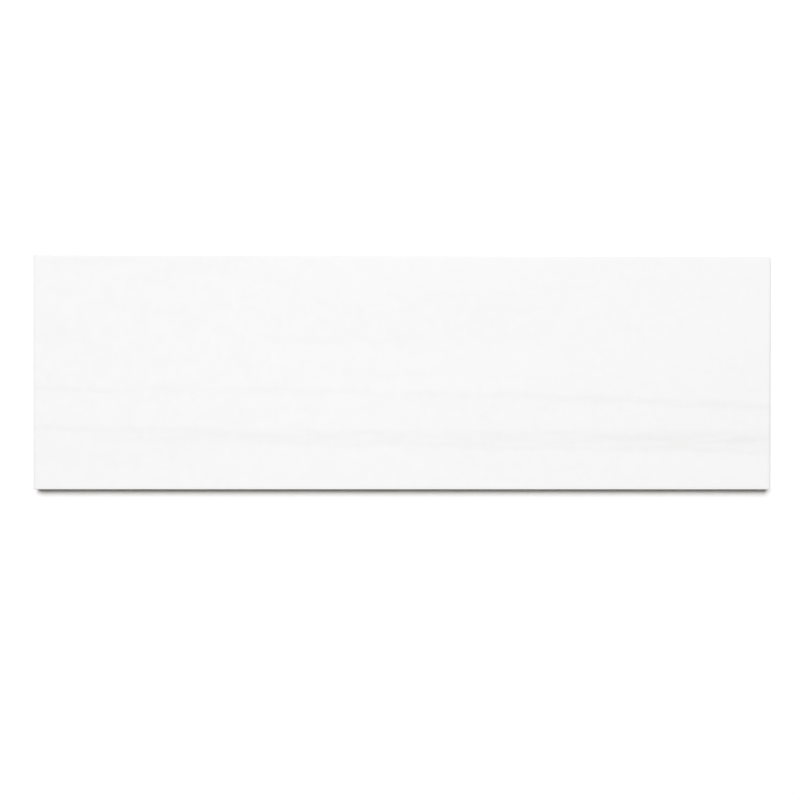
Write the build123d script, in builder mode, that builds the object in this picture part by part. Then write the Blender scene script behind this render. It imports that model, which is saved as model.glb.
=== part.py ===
from build123d import *
import os

# A pressed porcelain tile for walls and floors, lying face up on its back, as one fired piece.
# Its face is flat, and its exposed edges and upright corners are eased by a small radius.
# The lower part of each side is drawn in, so that only the upper part meets the joint.
# The back is a waffle of drafted pockets between ribs, which the bedding mortar keys into.
# The origin is at the middle of the back, with X along the tile, Y across it and Z up to its face.

# Format, in millimetres
tile_length = 300.0
tile_width = 95.0
tile_thickness = 9.0

# Edges
edge_radius = 0.4
side_draw_in = 0.6
side_draw_height = 2.5

# Pressed back, with the draft in degrees
pocket_size = 18.0
pocket_corner_radius = 2.0
pocket_depth = 0.8
pocket_draft = 25.0
rib_width = 2.8
least_margin = 4.0

pocket_pitch = pocket_size + rib_width


def pockets_along(side):
    """How many pockets, with a rib between each two, fit along a side of the back inside its margins."""
    back_side = side - 2 * side_draw_in
    return int((back_side - 2 * least_margin + rib_width) // pocket_pitch)


# One stud of the die, which presses one pocket and narrows upwards so that the tile comes off it
with BuildPart() as die_stud:
    with BuildSketch():
        RectangleRounded(pocket_size, pocket_size, pocket_corner_radius)
    extrude(amount=pocket_depth, taper=pocket_draft)

with BuildPart() as tile:
    # The block, eased around its face and down its four corners
    Box(tile_length, tile_width, tile_thickness, align=(Align.CENTER, Align.CENTER, Align.MIN))
    face_edges = tile.faces().sort_by(Axis.Z)[-1].edges()
    corner_edges = tile.edges().filter_by(Axis.Z)
    fillet(face_edges + corner_edges, radius=edge_radius)

    # The sections across and along the tile, which draw its sides in towards the back
    for section_plane, side in ((Plane.YZ, tile_width), (Plane.XZ, tile_length)):
        with BuildSketch(section_plane):
            with BuildLine():
                Polyline(
                    (0, 0),
                    (side / 2 - side_draw_in, 0),
                    (side / 2, side_draw_height),
                    (side / 2, tile_thickness),
                    (0, tile_thickness),
                )
                mirror(about=Plane.YZ)
            make_face()
        extrude(amount=tile_length + tile_width, both=True, mode=Mode.INTERSECT)

    # The waffle of the back
    with GridLocations(
        pocket_pitch, pocket_pitch, pockets_along(tile_length), pockets_along(tile_width)
    ):
        add(die_stud.part, mode=Mode.SUBTRACT)

tile.part.label = "tile"
os.makedirs("parts", exist_ok=True)
export_step(tile.part, "parts/tile.step")
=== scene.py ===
"""A pressed porcelain tile with a glazed and printed face, fired sides and a ribbed back, lit on a floor."""

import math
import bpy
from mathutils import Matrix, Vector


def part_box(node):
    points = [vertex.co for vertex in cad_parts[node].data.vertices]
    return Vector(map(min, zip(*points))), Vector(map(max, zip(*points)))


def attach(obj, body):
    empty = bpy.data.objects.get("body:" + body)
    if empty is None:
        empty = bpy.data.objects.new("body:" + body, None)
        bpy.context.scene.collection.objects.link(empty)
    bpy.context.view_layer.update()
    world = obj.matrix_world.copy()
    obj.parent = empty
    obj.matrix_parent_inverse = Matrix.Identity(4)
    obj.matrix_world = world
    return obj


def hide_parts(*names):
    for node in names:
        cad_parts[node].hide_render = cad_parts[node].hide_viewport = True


bl_info = {
    "name": "Porcelain Tile",
    "version": (1, 0, 0),
    "blender": (4, 5, 0),
    "location": "3D View > Sidebar > Tile",
    "description": "Models a pressed porcelain tile, glazes and prints its face, and lights it on a floor",
    "category": "Add Mesh",
}

from collections import namedtuple

import bmesh
import bpy
from bpy.props import FloatProperty, FloatVectorProperty, IntProperty, PointerProperty
from mathutils import Vector

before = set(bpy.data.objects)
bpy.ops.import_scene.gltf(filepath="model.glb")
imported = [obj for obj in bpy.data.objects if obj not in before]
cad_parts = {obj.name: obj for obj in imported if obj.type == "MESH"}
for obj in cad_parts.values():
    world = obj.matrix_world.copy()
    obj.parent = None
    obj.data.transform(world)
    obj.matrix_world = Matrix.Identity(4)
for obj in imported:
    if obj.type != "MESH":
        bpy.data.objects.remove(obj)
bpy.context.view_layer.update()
tile_low, tile_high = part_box("tile")

# Names in the frame
TILE_NODE = "tile"
TILE_BODY = "root"

# Millimetres in a metre
MILLIMETRES = 1000.0


class TilePressing(bpy.types.PropertyGroup):
    """Sizes that the die and the glaze give the tile."""

    length: FloatProperty(
        name="Length",
        description="Length of the tile along X",
        default=tile_high.x - tile_low.x,
        unit="LENGTH",
    )
    width: FloatProperty(
        name="Width",
        description="Width of the tile along Y",
        default=tile_high.y - tile_low.y,
        unit="LENGTH",
    )
    thickness: FloatProperty(
        name="Thickness",
        description="Height of the face above the ribs of the back",
        default=tile_high.z - tile_low.z,
        unit="LENGTH",
    )
    edge_radius: FloatProperty(
        name="Edge Radius",
        description="Radius around the face and down the upright corners",
        default=0.0004,
        unit="LENGTH",
        precision=5,
    )
    edge_segments: IntProperty(
        name="Edge Segments",
        description="Faces across the rounded edge",
        default=5,
        min=1,
    )
    shoulder_width: FloatProperty(
        name="Shoulder Width",
        description="How far in from its edge the glazed face starts to fall away",
        default=0.0016,
        unit="LENGTH",
        precision=5,
    )
    shoulder_drop: FloatProperty(
        name="Shoulder Drop",
        description="How far the glazed face falls before the rounded edge begins",
        default=0.00005,
        unit="LENGTH",
        precision=5,
    )
    shoulder_steps: IntProperty(
        name="Shoulder Steps",
        description="Rings of faces across the shoulder",
        default=4,
        min=1,
    )
    side_draw_in: FloatProperty(
        name="Side Draw-in",
        description="How far the foot of each side stands behind its upright part",
        default=0.0006,
        unit="LENGTH",
        precision=5,
    )
    side_draw_height: FloatProperty(
        name="Side Draw Height",
        description="Height at which the sides turn upright",
        default=0.0025,
        unit="LENGTH",
        precision=5,
    )
    foot_radius: FloatProperty(
        name="Foot Radius",
        description="Radius between the sides and the back",
        default=0.0002,
        unit="LENGTH",
        precision=5,
    )
    pocket_size: FloatProperty(
        name="Pocket Size",
        description="Width of one square pocket of the back at its mouth",
        default=0.018,
        unit="LENGTH",
        precision=5,
    )
    pocket_corner_radius: FloatProperty(
        name="Pocket Corner Radius",
        description="Radius of a pocket's corners at its mouth",
        default=0.002,
        unit="LENGTH",
        precision=5,
    )
    pocket_depth: FloatProperty(
        name="Pocket Depth",
        description="Depth of a pocket",
        default=0.0008,
        unit="LENGTH",
        precision=5,
    )
    pocket_draft: FloatProperty(
        name="Pocket Draft",
        description="Lean of a pocket's walls, which lets the tile off the die",
        default=math.radians(25),
        unit="ROTATION",
        subtype="ANGLE",
    )
    pocket_ease: FloatProperty(
        name="Pocket Ease",
        description="Width of the eased rim and of the eased foot of a pocket's walls",
        default=0.00025,
        unit="LENGTH",
        precision=5,
    )
    rib_width: FloatProperty(
        name="Rib Width",
        description="Width of the ribs between the pockets",
        default=0.0028,
        unit="LENGTH",
        precision=5,
    )
    least_margin: FloatProperty(
        name="Least Margin",
        description="Least width of the plain band around the pockets",
        default=0.004,
        unit="LENGTH",
        precision=5,
    )


class TileFinish(bpy.types.PropertyGroup):
    """Colours and gloss of the glaze, the print and the fired body."""

    glaze_colour: FloatVectorProperty(
        name="Glaze",
        description="White of the glazed face",
        default=(0.7526, 0.7510, 0.7524),
        min=0.0,
        max=1.0,
        subtype="COLOR",
    )
    # The painted shade on the face mixes towards the streaks' grey too, by the same depth
    streak_colour: FloatVectorProperty(
        name="Streaks",
        description="Grey of the printed streaks at their densest",
        default=(0.555, 0.55, 0.54),
        min=0.0,
        max=1.0,
        subtype="COLOR",
    )
    streak_depth: FloatProperty(
        name="Streak Depth",
        description="How much of the streaks' grey shows through the glaze",
        default=0.2,
        min=0.0,
        max=1.0,
        subtype="FACTOR",
    )
    glaze_roughness: FloatProperty(
        name="Glaze Roughness",
        description="Roughness of the satin glaze",
        default=0.62,
        min=0.0,
        max=1.0,
        subtype="FACTOR",
    )
    body_colour: FloatVectorProperty(
        name="Body",
        description="Bare fired porcelain of the sides and the back",
        default=(0.62, 0.51, 0.38),
        min=0.0,
        max=1.0,
        subtype="COLOR",
    )
    speck_colour: FloatVectorProperty(
        name="Specks",
        description="Mineral specks in the fired body",
        default=(0.34, 0.29, 0.24),
        min=0.0,
        max=1.0,
        subtype="COLOR",
    )
    wash_colour: FloatVectorProperty(
        name="Kiln Wash",
        description="Chalky wash on the ribs, which keeps the tile from sticking to the kiln rollers",
        default=(0.78, 0.77, 0.74),
        min=0.0,
        max=1.0,
        subtype="COLOR",
    )
    glaze_overlap: FloatProperty(
        name="Glaze Overlap",
        description="How far the glaze runs down the sides from the face",
        default=0.0014,
        unit="LENGTH",
        precision=5,
    )


class TileStudio(bpy.types.PropertyGroup):
    """Floor, light and camera."""

    floor_size: FloatProperty(
        name="Floor Size",
        description="Width of the square floor",
        default=8.0,
        unit="LENGTH",
    )
    floor_gap: FloatProperty(
        name="Floor Gap",
        description="Hair of room between the floor and the ribs, which keeps the two faces apart",
        default=0.00002,
        unit="LENGTH",
        precision=5,
    )
    floor_colour: FloatVectorProperty(
        name="Floor",
        description="Colour of the floor",
        default=(0.85, 0.85, 0.85),
        min=0.0,
        max=1.0,
        subtype="COLOR",
    )
    fill_strength: FloatProperty(
        name="Fill Strength",
        description="Brightness of the even light from all around",
        default=0.03,
    )
    key_place: FloatVectorProperty(
        name="Key Place",
        description="Middle of the key light",
        default=(-0.73, 1.26, 8.0),
        subtype="TRANSLATION",
    )
    key_size: FloatVectorProperty(
        name="Key Size",
        description="Width and height of the key light",
        default=(3.3, 1.28),
        size=2,
        unit="LENGTH",
    )
    key_power: FloatProperty(
        name="Key Power",
        description="Power of the key light",
        default=323.0,
        subtype="POWER",
    )
    bank_place: FloatVectorProperty(
        name="Bank Place",
        description="Middle of the broad bank of light behind the key light",
        default=(-0.73, 2.43, 8.0),
        subtype="TRANSLATION",
    )
    bank_size: FloatVectorProperty(
        name="Bank Size",
        description="Width and height of the bank",
        default=(4.2, 2.75),
        size=2,
        unit="LENGTH",
    )
    bank_power: FloatProperty(
        name="Bank Power",
        description="Power of the bank",
        default=531.0,
        subtype="POWER",
    )
    camera_place: FloatVectorProperty(
        name="Camera Place",
        description="Where the camera hangs above the tile",
        default=(-0.0161, -0.00664, 0.77737),
        subtype="TRANSLATION",
    )
    camera_turn: FloatVectorProperty(
        name="Camera Turn",
        description="How the camera is turned away from looking straight down",
        default=(math.radians(-0.331), math.radians(-1.101), math.radians(0.065)),
        subtype="EULER",
    )
    camera_lens: FloatProperty(
        name="Lens",
        description="Focal length of the camera in millimetres",
        default=85.0,
        subtype="DISTANCE_CAMERA",
    )


# Selecting

# Two points nearer than this, in metres, count as one
TOUCH = 2e-6

# The upright part of a normal beyond which a face counts as level, or as turned to the back
LEVEL = 0.9995
BACK_LEAN = 0.2

# Two faces that meet at more than this angle make a crease
CREASE_ANGLE = math.radians(30)


def select_in_edit(kind, test):
    """Select just those vertices, edges or faces of the mesh in edit mode that pass the test."""
    bpy.ops.mesh.select_mode(type=kind)
    bpy.ops.mesh.select_all(action="DESELECT")
    mesh = bpy.context.edit_object.data
    edited = bmesh.from_edit_mesh(mesh)
    edited.normal_update()
    parts = {"VERT": edited.verts, "EDGE": edited.edges, "FACE": edited.faces}[kind]
    chosen = [part for part in parts if test(part)]
    if not chosen:
        raise RuntimeError(f"nothing to select among the {kind.lower()} parts of {mesh.name}")
    for part in chosen:
        part.select_set(True)
    edited.select_flush_mode()
    bmesh.update_edit_mesh(mesh)


def lies_at(edge, height):
    """Whether both ends of an edge lie at a height."""
    return all(abs(corner.co.z - height) < TOUCH for corner in edge.verts)


def is_upright(edge):
    """Whether an edge runs straight up."""
    low, high = edge.verts
    return (high.co - low.co).xy.length < TOUCH


def is_crease(edge):
    """Whether the two faces of an edge meet at a clear angle."""
    return len(edge.link_faces) == 2 and edge.calc_face_angle() > CREASE_ANGLE


# The block

# Faces across the round between the sides and the back
FOOT_SEGMENTS = 2


def round_edges(pressing, edge_height):
    """Round the block around its face and down its corners."""
    select_in_edit("EDGE", lambda edge: is_upright(edge) or lies_at(edge, edge_height))
    bpy.ops.mesh.bevel(offset=pressing.edge_radius, segments=pressing.edge_segments, affect="EDGES")


def raise_shoulder(pressing):
    """Let the face rise inwards from its rounded edge, less and less until it is level."""
    select_in_edit("FACE", lambda face: face.normal.z > LEVEL)
    steps = pressing.shoulder_steps
    for step in range(steps):
        outer = 1 - step / steps
        inner = 1 - (step + 1) / steps
        bpy.ops.mesh.inset(
            thickness=pressing.shoulder_width / steps,
            depth=pressing.shoulder_drop * (outer**2 - inner**2),
        )


def draw_in_sides(pressing):
    """Draw the sides in below, and round their foot."""
    bpy.ops.mesh.select_all(action="SELECT")
    bpy.ops.mesh.bisect(plane_co=(0, 0, pressing.side_draw_height), plane_no=(0, 0, 1))
    select_in_edit("VERT", lambda corner: corner.co.z < TOUCH)
    foot_share = [1 - 2 * pressing.side_draw_in / side for side in (pressing.length, pressing.width)]
    bpy.ops.transform.resize(value=(*foot_share, 1), center_override=(0, 0, 0))
    select_in_edit("EDGE", lambda edge: lies_at(edge, 0))
    bpy.ops.mesh.bevel(offset=pressing.foot_radius, segments=FOOT_SEGMENTS, affect="EDGES")


def press_block(pressing):
    """The tile without its waffle, open at the back."""
    edge_height = pressing.thickness - pressing.shoulder_drop
    bpy.ops.object.select_all(action="DESELECT")
    bpy.ops.mesh.primitive_cube_add(
        size=1,
        location=(0, 0, edge_height / 2),
        scale=(pressing.length, pressing.width, edge_height),
    )
    bpy.ops.object.transform_apply(location=True, rotation=True, scale=True)
    block = bpy.context.object
    bpy.ops.object.mode_set(mode="EDIT")
    round_edges(pressing, edge_height)
    raise_shoulder(pressing)
    draw_in_sides(pressing)
    select_in_edit("FACE", lambda face: face.normal.z < -LEVEL)
    bpy.ops.mesh.delete(type="FACE")
    bpy.ops.object.mode_set(mode="OBJECT")
    return block


# The waffle

# Faces across the round corners of a pocket and across the eased edges of its walls
POCKET_CORNER_SEGMENTS = 6
POCKET_EASE_SEGMENTS = 3

# The ribs are drawn out past their middles by this factor before they are trimmed there
RIB_OVERSHOOT = 1.5


def pockets_along(pressing, side):
    """How many pockets, with a rib between each two, fit along a side of the back inside its margins."""
    back_side = side - 2 * pressing.side_draw_in
    room = back_side - 2 * pressing.least_margin + pressing.rib_width
    return int(room // (pressing.pocket_size + pressing.rib_width))


def draw_out_ribs(pressing, pitch):
    """Draw half a rib out around the mouth of the pocket."""
    select_in_edit("EDGE", lambda edge: edge.is_boundary)
    bpy.ops.mesh.extrude_edges_move()
    overshoot = RIB_OVERSHOOT * pitch / pressing.pocket_size
    bpy.ops.transform.resize(value=(overshoot, overshoot, 1), center_override=(0, 0, 0))
    for outward in ((1, 0, 0), (-1, 0, 0), (0, 1, 0), (0, -1, 0)):
        bpy.ops.mesh.select_all(action="SELECT")
        bpy.ops.mesh.bisect(
            plane_co=[pitch / 2 * part for part in outward],
            plane_no=outward,
            clear_outer=True,
        )


def ease_creases(pressing, height):
    """Ease the creases that lie at a height."""
    select_in_edit("EDGE", lambda edge: lies_at(edge, height) and is_crease(edge))
    bpy.ops.mesh.bevel(offset=pressing.pocket_ease, segments=POCKET_EASE_SEGMENTS, affect="EDGES")


def press_pocket(pressing):
    """Press the pocket in, with drafted walls that are eased at the floor and at the rim."""
    select_in_edit("FACE", lambda face: face.calc_center_median().length < TOUCH)
    bpy.ops.mesh.inset(
        thickness=pressing.pocket_depth * math.tan(pressing.pocket_draft),
        depth=-pressing.pocket_depth,
    )
    ease_creases(pressing, pressing.pocket_depth)
    ease_creases(pressing, 0)


def apply_array(count, step):
    """Repeat the active object's mesh along a step and merge the copies where they meet."""
    bpy.ops.object.modifier_add(type="ARRAY")
    array = bpy.context.object.modifiers[-1]
    array.count = count
    array.use_relative_offset = False
    array.use_constant_offset = True
    array.constant_offset_displace = step
    array.use_merge_vertices = True
    array.merge_threshold = TOUCH
    bpy.ops.object.modifier_apply(modifier=array.name)


def press_waffle(pressing):
    """The pockets and ribs of the back: one pocket with half a rib around it, modelled once and repeated."""
    pitch = pressing.pocket_size + pressing.rib_width
    columns = pockets_along(pressing, pressing.length)
    rows = pockets_along(pressing, pressing.width)

    bpy.ops.object.select_all(action="DESELECT")
    bpy.ops.mesh.primitive_plane_add(size=pressing.pocket_size, location=(0, 0, 0))
    waffle = bpy.context.object
    bpy.ops.object.mode_set(mode="EDIT")
    bpy.ops.mesh.select_all(action="SELECT")
    bpy.ops.mesh.flip_normals()
    bpy.ops.mesh.bevel(
        offset=pressing.pocket_corner_radius, segments=POCKET_CORNER_SEGMENTS, affect="VERTICES"
    )
    draw_out_ribs(pressing, pitch)
    press_pocket(pressing)

    # To the first pocket's place, and on from there
    bpy.ops.mesh.select_all(action="SELECT")
    bpy.ops.transform.translate(value=(-(columns - 1) / 2 * pitch, -(rows - 1) / 2 * pitch, 0))
    bpy.ops.object.mode_set(mode="OBJECT")
    apply_array(columns, (pitch, 0, 0))
    apply_array(rows, (0, pitch, 0))
    return waffle


# The whole tile

# Shading is smooth across edges up to this angle
SMOOTH_ANGLE = math.radians(35)


def close_back(block, waffle):
    """Join the waffle to the block and fill the plain margin between them."""
    bpy.ops.object.select_all(action="DESELECT")
    waffle.select_set(True)
    block.select_set(True)
    bpy.context.view_layer.objects.active = block
    bpy.ops.object.join()
    bpy.ops.object.mode_set(mode="EDIT")
    select_in_edit("EDGE", lambda edge: edge.is_boundary)
    bpy.ops.mesh.fill(use_beauty=True)
    bpy.ops.mesh.select_all(action="SELECT")
    bpy.ops.mesh.normals_make_consistent(inside=False)
    bpy.ops.object.mode_set(mode="OBJECT")
    return block


def smooth_faces(tile):
    """Shade the rounded edges smooth and keep the level faces flat."""
    bpy.ops.object.shade_smooth_by_angle(angle=SMOOTH_ANGLE)
    bpy.ops.object.modifier_add(type="WEIGHTED_NORMAL")
    weighting = tile.modifiers[-1]
    weighting.mode = "FACE_AREA"
    weighting.keep_sharp = True
    bpy.ops.object.modifier_apply(modifier=weighting.name)


# Shader maths

class Value:
    """An output of a material's nodes. Arithmetic on it adds Math nodes."""

    def __init__(self, tree, socket):
        self.tree = tree
        self.socket = socket

    @classmethod
    def of(cls, tree, kind, settings=None, inputs=None, output=0):
        """Add a node, set it up, give its sockets values or links, and take an output, if it has any."""
        node = tree.nodes.new(kind)
        for name, setting in (settings or {}).items():
            setattr(node, name, setting)
        for name, value in (inputs or {}).items():
            if isinstance(value, Value):
                tree.links.new(value.socket, node.inputs[name])
            else:
                node.inputs[name].default_value = value
        return cls(tree, node.outputs[output]) if node.outputs else None

    def math(self, operation, *terms):
        """A Math node on one or two terms."""
        return Value.of(self.tree, "ShaderNodeMath", {"operation": operation}, dict(enumerate(terms)))

    def __add__(self, other):
        return self.math("ADD", self, other)

    __radd__ = __add__

    def __sub__(self, other):
        return self.math("SUBTRACT", self, other)

    def __rsub__(self, other):
        return self.math("SUBTRACT", other, self)

    def __mul__(self, other):
        return self.math("MULTIPLY", self, other)

    __rmul__ = __mul__

    def __truediv__(self, other):
        return self.math("DIVIDE", self, other)

    def __abs__(self):
        return self.math("ABSOLUTE", self)

    def at_least(self, other):
        return self.math("MAXIMUM", self, other)

    def rise(self, low, high):
        """From 0 at low to 1 at high along a smooth step."""
        return Value.of(
            self.tree,
            "ShaderNodeMapRange",
            {"interpolation_type": "SMOOTHSTEP"},
            {"Value": self, "From Min": low, "From Max": high},
        )


# Sockets of a Mix node that mixes colours
MIX_FACTOR, MIX_FROM, MIX_TO, MIX_RESULT = 0, 6, 7, 2


def mixed(tree, factor, first, second):
    """One colour turning into another as the factor goes from 0 to 1."""
    def as_colour(colour):
        return colour if isinstance(colour, Value) else (*colour, 1)

    return Value.of(
        tree,
        "ShaderNodeMix",
        {"data_type": "RGBA"},
        {MIX_FACTOR: factor, MIX_FROM: as_colour(first), MIX_TO: as_colour(second)},
        MIX_RESULT,
    )


def millimetres(tree):
    """The place on the tile in millimetres, whole and as its three parts."""
    place = Value.of(tree, "ShaderNodeTexCoord", output="Object")
    place = Value.of(
        tree, "ShaderNodeVectorMath", {"operation": "SCALE"}, {0: place, "Scale": MILLIMETRES}
    )
    parts = [
        Value.of(tree, "ShaderNodeSeparateXYZ", inputs={"Vector": place}, output=axis) for axis in "XYZ"
    ]
    return place, *parts


# Grain of the finishes

# A cloudy noise about its mean: features for each millimetre, layers of finer detail, the strength of each
# layer against the one before, and how far the features are drawn out along each axis
Grain = namedtuple("Grain", "scale detail falloff stretch", defaults=(2.0, 0.5, (1, 1, 1)))
GRAIN_MEAN = 0.5

# A grain that swings about nothing, and how far
Swing = namedtuple("Swing", "grain reach")

# A grain that shows in patches: where they begin, where they are full, and their strength
Patches = namedtuple("Patches", "grain low high strength", defaults=(1.0,))


def noise(tree, place, grain, shift=(0, 0, 0)):
    """The noise of a grain, moved by a shift in millimetres."""
    drawn = Value.of(
        tree,
        "ShaderNodeMapping",
        {"vector_type": "TEXTURE"},
        {"Vector": place, "Location": shift, "Scale": grain.stretch},
    )
    return Value.of(
        tree,
        "ShaderNodeTexNoise",
        {"noise_dimensions": "3D"},
        {"Vector": drawn, "Scale": grain.scale, "Detail": grain.detail, "Roughness": grain.falloff},
        "Fac",
    )


def swing(tree, place, layer, shift=(0, 0, 0)):
    """A grain's swing, to either side of nothing."""
    return (noise(tree, place, layer.grain, shift) - GRAIN_MEAN) * layer.reach


def patches(tree, place, layer, shift=(0, 0, 0)):
    """A grain's patches, from 0 to their strength."""
    return noise(tree, place, layer.grain, shift).rise(layer.low, layer.high) * layer.strength


# The print, and the painted shade on the face

# A streak runs along the tile. Its height across the tile, its half width and its strength are each given
# at the left end, in the middle and at the right end. Lengths are in millimetres.
Streak = namedtuple("Streak", "height width strength start end")

STREAKS = (
    # The thin upper one
    Streak((-6.8, -8.4, -13.6), (1.2, 1.6, 1.6), (0.36, 0.36, 0.66), -170, 170),
    # The main one, which thickens to the right
    Streak((-22.0, -25.4, -25.9), (1.15, 2.0, 2.5), (0.58, 0.50, 0.85), -170, 170),
    # Its lower branch, broad in the middle and thin at the right
    Streak((-25.5, -28.9, -31.3), (2.0, 1.9, 1.2), (0.30, 0.48, 0.50), -140, 170),
    # The cloud around both
    Streak((-24.0, -27.0, -27.5), (3.5, 5.0, 5.5), (0.04, 0.10, 0.26), -120, 170),
    # Two faint lines above
    Streak((15.0, 13.6, 15.5), (2.2, 2.2, 2.0), (0.13, 0.13, 0.13), -80, 12),
    Streak((2.0, 0.0, -3.0), (2.0, 2.0, 2.0), (0.12, 0.12, 0.12), -40, 30),
)

# A streak begins and ends over this length
STREAK_FADE = 30.0

# It starts to fade at the first of these shares of its half width from its middle, and is gone at the second
STREAK_EDGE = (0.15, 1.6)

# It wanders, ripples and breaks up
STREAK_WANDER = Swing(Grain(0.035), 3.0)
STREAK_RIPPLE = Swing(Grain(0.16), 1.4)
STREAK_BREAKS = Patches(Grain(0.5, detail=3.0, stretch=(9, 1, 1)), 0.12, 0.75)

# Each streak reads the noise elsewhere, at these multiples of its height at an end
WANDER_SHIFT = 3
RIPPLE_SHIFT = 5

# The ground between the streaks: long hazy patches, a soft mottle and the dots of the print
HAZE = Patches(Grain(0.05, detail=3.0, stretch=(4.5, 1, 1)), 0.4, 0.8, 0.22)
MOTTLE = Swing(Grain(0.3), 0.65)
STIPPLE = Swing(Grain(2.4, detail=1.0), 0.22)

# Painted shade: a faint grey, this strong at the left end, that thins out towards the middle and darkens the
# face where the lights fall brightest
PAINTED_LEFT_SHADE = 0.24

# Painted shade over this last width at both ends of the face, in millimetres, and how much it darkens there
PAINTED_END_SHADE_WIDTH = 1.5
PAINTED_END_SHADE_DEPTH = 0.7


def along_streak(ends, along):
    """The curve through a streak's values at the left end, in the middle and at the right end."""
    left, middle, right = ends
    return (
        left * (1 - along) * (1 - 2 * along)
        + 4 * middle * along * (1 - along)
        + right * along * (2 * along - 1)
    )


def streak_mask(tree, streak, pressing, place, x, y):
    """How strongly one streak is printed at a place, from 0 to its strength."""
    along = x / (MILLIMETRES * pressing.length) + 0.5
    left, right = streak.height[0], streak.height[-1]
    wander = swing(tree, place, STREAK_WANDER, (0, left * WANDER_SHIFT, 0))
    ripple = swing(tree, place, STREAK_RIPPLE, (0, right * RIPPLE_SHIFT, 0))
    line = along_streak(streak.height, along) + wander + ripple
    band = 1 - (abs(y - line) / along_streak(streak.width, along)).rise(*STREAK_EDGE)
    begun = x.rise(streak.start, streak.start + STREAK_FADE)
    ended = x.rise(streak.end - STREAK_FADE, streak.end)
    strength = along_streak(streak.strength, along) * begun * (1 - ended)
    return band * strength * patches(tree, place, STREAK_BREAKS, (left, 0, 0))


def printed_and_shaded_glaze(tree, finish, pressing, place, x, y):
    """Colour of the glazed face with its print and its painted shade, and how much of both shows."""
    half_length = MILLIMETRES * pressing.length / 2
    print_and_painted_shade = 0.0
    for streak in STREAKS:
        print_and_painted_shade = print_and_painted_shade + streak_mask(tree, streak, pressing, place, x, y)
    ground = patches(tree, place, HAZE) + swing(tree, place, MOTTLE) + swing(tree, place, STIPPLE)
    # Painted shade towards the left end, where the lights fall brightest
    painted_left_shade = (1 - x.rise(-half_length, 0.0)) * PAINTED_LEFT_SHADE
    # Painted shade over the last width of both ends of the face
    painted_end_shade = 1 - (half_length - abs(x)).rise(0.0, PAINTED_END_SHADE_WIDTH)
    print_and_painted_shade = (print_and_painted_shade + ground + painted_left_shade + painted_end_shade * PAINTED_END_SHADE_DEPTH).at_least(0.0)
    colour = mixed(
        tree, print_and_painted_shade * finish.streak_depth, finish.glaze_colour, finish.streak_colour
    )
    return colour, print_and_painted_shade


# Materials

# Refraction of glaze and fired body
SURFACE_IOR = 1.5

# The fired body: dark specks, paler clouds, and the grain of the pressed powder
SPECKS = Patches(Grain(3.2), 0.64, 0.72, 0.45)
CLOUDS = Patches(Grain(0.25, detail=4.0), 0.3, 0.75, 0.35)
POWDER = Grain(5.0, detail=3.0, falloff=0.6)

# The lower edge of the glaze on the sides: how it runs and how soft it is, in millimetres
GLAZE_RUNS = Swing(Grain(0.22, detail=3.0), 1.6)
GLAZE_EDGE_SOFTNESS = 0.12

# Roughness: how it swings over the glaze, what the print and the painted shade add, and its middle and swing
# on the bare body
GLOSS = Swing(Grain(0.12, detail=3.0), 0.10)
PRINT_AND_SHADE_ROUGHNESS = 0.05
SIDE_ROUGHNESS = 0.82
SIDE_ROUGHNESS_SWING = 0.16
BACK_ROUGHNESS = 0.84
BACK_ROUGHNESS_SWING = 0.2

# Relief of the glazed face and the sides, as shares of its depth in metres
FACE_RELIEF = 0.00005
WAVES = Grain(0.55)
WAVE_SHARE = 0.12
PINHOLES = Grain(2.2, detail=1.0)
PINHOLE_SHARE = 0.03
POWDER_SHARE = 0.9
GLAZE_STEP_SHARE = 0.5

# Kiln wash on the back: its patches, its strength on the ribs and everywhere, the heights in millimetres
# between which a rib ends, and its share of the relief, with the depth of that in metres
WASH = Patches(Grain(0.12, detail=5.0, falloff=0.6), 0.38, 0.62)
WASH_ON_RIBS = 0.75
WASH_EVERYWHERE = 0.12
RIB_END = (0.05, 0.3)
WASH_SHARE = 0.4
BACK_RELIEF = 0.00006


def new_material(name):
    """An empty material and its node tree."""
    material = bpy.data.materials.new(name)
    material.use_nodes = True
    tree = material.node_tree
    tree.nodes.clear()
    return material, tree


def finish_surface(tree, colour, roughness, height, depth):
    """A surface with its colour, roughness and fine relief, joined to the output."""
    relief = Value.of(
        tree,
        "ShaderNodeBump",
        inputs={"Strength": 1.0, "Distance": depth, "Height": height},
        output="Normal",
    )
    surface = Value.of(
        tree,
        "ShaderNodeBsdfPrincipled",
        inputs={"Base Color": colour, "Roughness": roughness, "Normal": relief, "IOR": SURFACE_IOR},
    )
    Value.of(tree, "ShaderNodeOutputMaterial", inputs={"Surface": surface})


def bare_body(tree, finish, place):
    """Colour and grain of the fired body where no glaze covers it."""
    colour = mixed(tree, patches(tree, place, CLOUDS), finish.body_colour, finish.wash_colour)
    colour = mixed(tree, patches(tree, place, SPECKS), colour, finish.speck_colour)
    return colour, noise(tree, place, POWDER)


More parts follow.
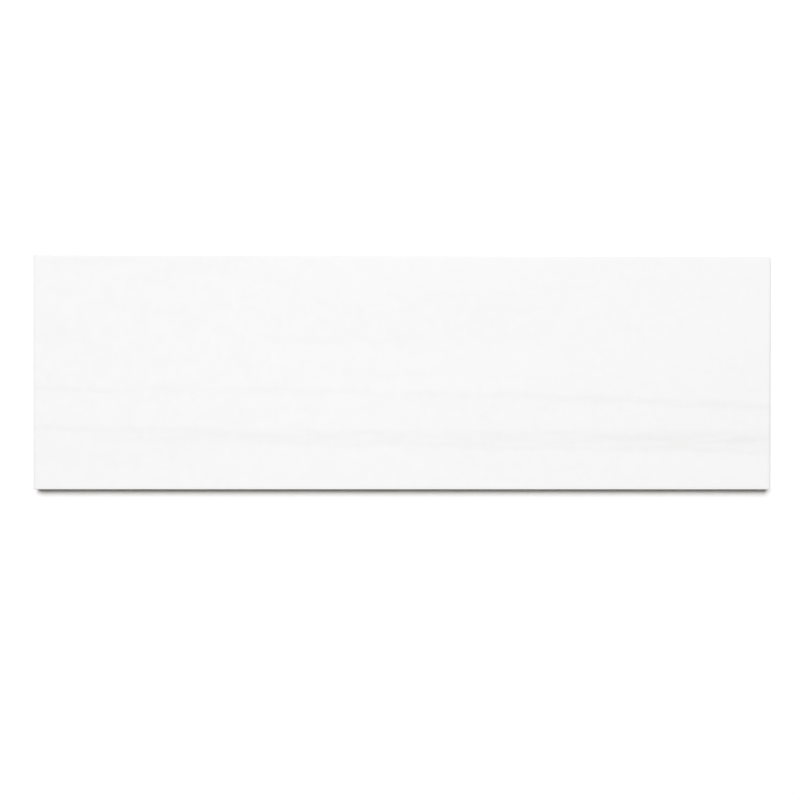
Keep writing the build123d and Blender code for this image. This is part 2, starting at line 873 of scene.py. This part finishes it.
def glazed_porcelain(finish, pressing):
    """Satin glaze with its print and its painted shade over the face and the top of the sides, and the bare
    body below.
    """
    material, tree = new_material("glazed_porcelain")
    place, x, y, z = millimetres(tree)
    glaze, print_and_painted_shade = printed_and_shaded_glaze(tree, finish, pressing, place, x, y)
    body, powder = bare_body(tree, finish, place)

    glaze_edge = MILLIMETRES * (pressing.thickness - finish.glaze_overlap)
    glazed = (z + swing(tree, place, GLAZE_RUNS)).rise(
        glaze_edge - GLAZE_EDGE_SOFTNESS, glaze_edge + GLAZE_EDGE_SOFTNESS
    )
    colour = mixed(tree, glazed, body, glaze)

    gloss = finish.glaze_roughness + swing(tree, place, GLOSS) + print_and_painted_shade * PRINT_AND_SHADE_ROUGHNESS
    bare = SIDE_ROUGHNESS + (powder - GRAIN_MEAN) * SIDE_ROUGHNESS_SWING
    roughness = gloss * glazed + bare * (1 - glazed)

    waves = noise(tree, place, WAVES) * WAVE_SHARE + noise(tree, place, PINHOLES) * PINHOLE_SHARE
    height = waves * glazed + powder * POWDER_SHARE * (1 - glazed) + glazed * GLAZE_STEP_SHARE
    finish_surface(tree, colour, roughness, height, FACE_RELIEF)
    return material


def pressed_back(finish):
    """Bare pressed body, with kiln wash rubbed onto the ribs."""
    material, tree = new_material("pressed_back")
    place, _, _, z = millimetres(tree)
    body, powder = bare_body(tree, finish, place)
    on_rib = 1 - z.rise(*RIB_END)
    wash = (on_rib * WASH_ON_RIBS + WASH_EVERYWHERE) * patches(tree, place, WASH)
    colour = mixed(tree, wash, body, finish.wash_colour)
    roughness = BACK_ROUGHNESS + (powder - GRAIN_MEAN) * BACK_ROUGHNESS_SWING
    finish_surface(tree, colour, roughness, powder + wash * WASH_SHARE, BACK_RELIEF)
    return material


def paint(tile, finish, pressing):
    """Give the face and sides their glaze, and the back its bare body."""
    tile.data.materials.clear()
    tile.data.materials.append(glazed_porcelain(finish, pressing))
    tile.data.materials.append(pressed_back(finish))
    back_top = pressing.pocket_depth + TOUCH

    def is_back(face):
        return face.normal.z < -BACK_LEAN and all(corner.co.z < back_top for corner in face.verts)

    bpy.ops.object.mode_set(mode="EDIT")
    select_in_edit("FACE", is_back)
    tile.active_material_index = len(tile.data.materials) - 1
    bpy.ops.object.material_slot_assign()
    bpy.ops.object.mode_set(mode="OBJECT")


# Stage

def lay_floor(studio):
    """A plain pale floor under the tile."""
    bpy.ops.object.select_all(action="DESELECT")
    bpy.ops.mesh.primitive_plane_add(size=studio.floor_size, location=(0, 0, -studio.floor_gap))
    floor = bpy.context.object
    floor.name = "floor"
    material, tree = new_material("floor_paper")
    surface = Value.of(
        tree,
        "ShaderNodeBsdfPrincipled",
        inputs={"Base Color": (*studio.floor_colour, 1), "Roughness": 1.0, "Specular IOR Level": 0.0},
    )
    Value.of(tree, "ShaderNodeOutputMaterial", inputs={"Surface": surface})
    floor.data.materials.append(material)


def hang_light(name, place, size, power):
    """One soft oval light, turned towards the tile."""
    bpy.ops.object.light_add(type="AREA", location=place)
    light = bpy.context.object
    light.name = name
    light.rotation_euler = (-Vector(place)).to_track_quat("-Z", "Y").to_euler()
    light.data.shape = "ELLIPSE"
    light.data.size, light.data.size_y = size
    light.data.energy = power


def light_stage(scene, studio):
    """An even fill from all around, and a key light and a broad bank above the far side of the tile."""
    world = bpy.data.worlds.new("studio_fill")
    world.use_nodes = True
    fill = world.node_tree.nodes["Background"]
    fill.inputs["Color"].default_value = (1, 1, 1, 1)
    fill.inputs["Strength"].default_value = studio.fill_strength
    scene.world = world
    hang_light("key_light", studio.key_place, studio.key_size, studio.key_power)
    hang_light("bank_light", studio.bank_place, studio.bank_size, studio.bank_power)


def place_camera(scene, studio):
    """The camera that hangs over the tile."""
    bpy.ops.object.camera_add(location=studio.camera_place, rotation=studio.camera_turn)
    camera = bpy.context.object
    camera.name = "camera"
    camera.data.lens = studio.camera_lens
    scene.camera = camera
    scene.view_settings.view_transform = "Standard"


# Operators and panel

class TILE_OT_press_tile(bpy.types.Operator):
    """Model the tile as one fired piece and glaze it"""

    bl_idname = "tile.press_tile"
    bl_label = "Press Tile"

    def execute(self, context):
        pressing = context.scene.tile_pressing
        finish = context.scene.tile_finish
        tile = close_back(press_block(pressing), press_waffle(pressing))
        tile.name = "porcelain_tile"
        tile.data.name = "porcelain_tile"
        smooth_faces(tile)
        paint(tile, finish, pressing)
        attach(tile, TILE_BODY)
        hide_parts(TILE_NODE)
        return {"FINISHED"}


class TILE_OT_set_stage(bpy.types.Operator):
    """Lay the floor, hang the light and place the camera"""

    bl_idname = "tile.set_stage"
    bl_label = "Set Stage"

    def execute(self, context):
        studio = context.scene.tile_studio
        lay_floor(studio)
        light_stage(context.scene, studio)
        place_camera(context.scene, studio)
        return {"FINISHED"}


class TILE_PT_sidebar(bpy.types.Panel):
    """Sizes, finish and studio of the tile"""

    bl_label = "Porcelain Tile"
    bl_idname = "TILE_PT_sidebar"
    bl_space_type = "VIEW_3D"
    bl_region_type = "UI"
    bl_category = "Tile"

    def draw(self, context):
        scene = context.scene
        groups = (
            (scene.tile_pressing, TILE_OT_press_tile.bl_idname),
            (scene.tile_finish, None),
            (scene.tile_studio, TILE_OT_set_stage.bl_idname),
        )
        for group, operator in groups:
            box = self.layout.box()
            for name in group.bl_rna.properties.keys():
                if name not in ("rna_type", "name"):
                    box.prop(group, name)
            if operator:
                box.operator(operator)


CLASSES = (
    TilePressing,
    TileFinish,
    TileStudio,
    TILE_OT_press_tile,
    TILE_OT_set_stage,
    TILE_PT_sidebar,
)


def register():
    for each in CLASSES:
        bpy.utils.register_class(each)
    bpy.types.Scene.tile_pressing = PointerProperty(type=TilePressing)
    bpy.types.Scene.tile_finish = PointerProperty(type=TileFinish)
    bpy.types.Scene.tile_studio = PointerProperty(type=TileStudio)


def unregister():
    del bpy.types.Scene.tile_studio
    del bpy.types.Scene.tile_finish
    del bpy.types.Scene.tile_pressing
    for each in reversed(CLASSES):
        bpy.utils.unregister_class(each)


def main():
    register()
    bpy.ops.tile.press_tile()
    bpy.ops.tile.set_stage()


if __name__ == "__main__":
    main()
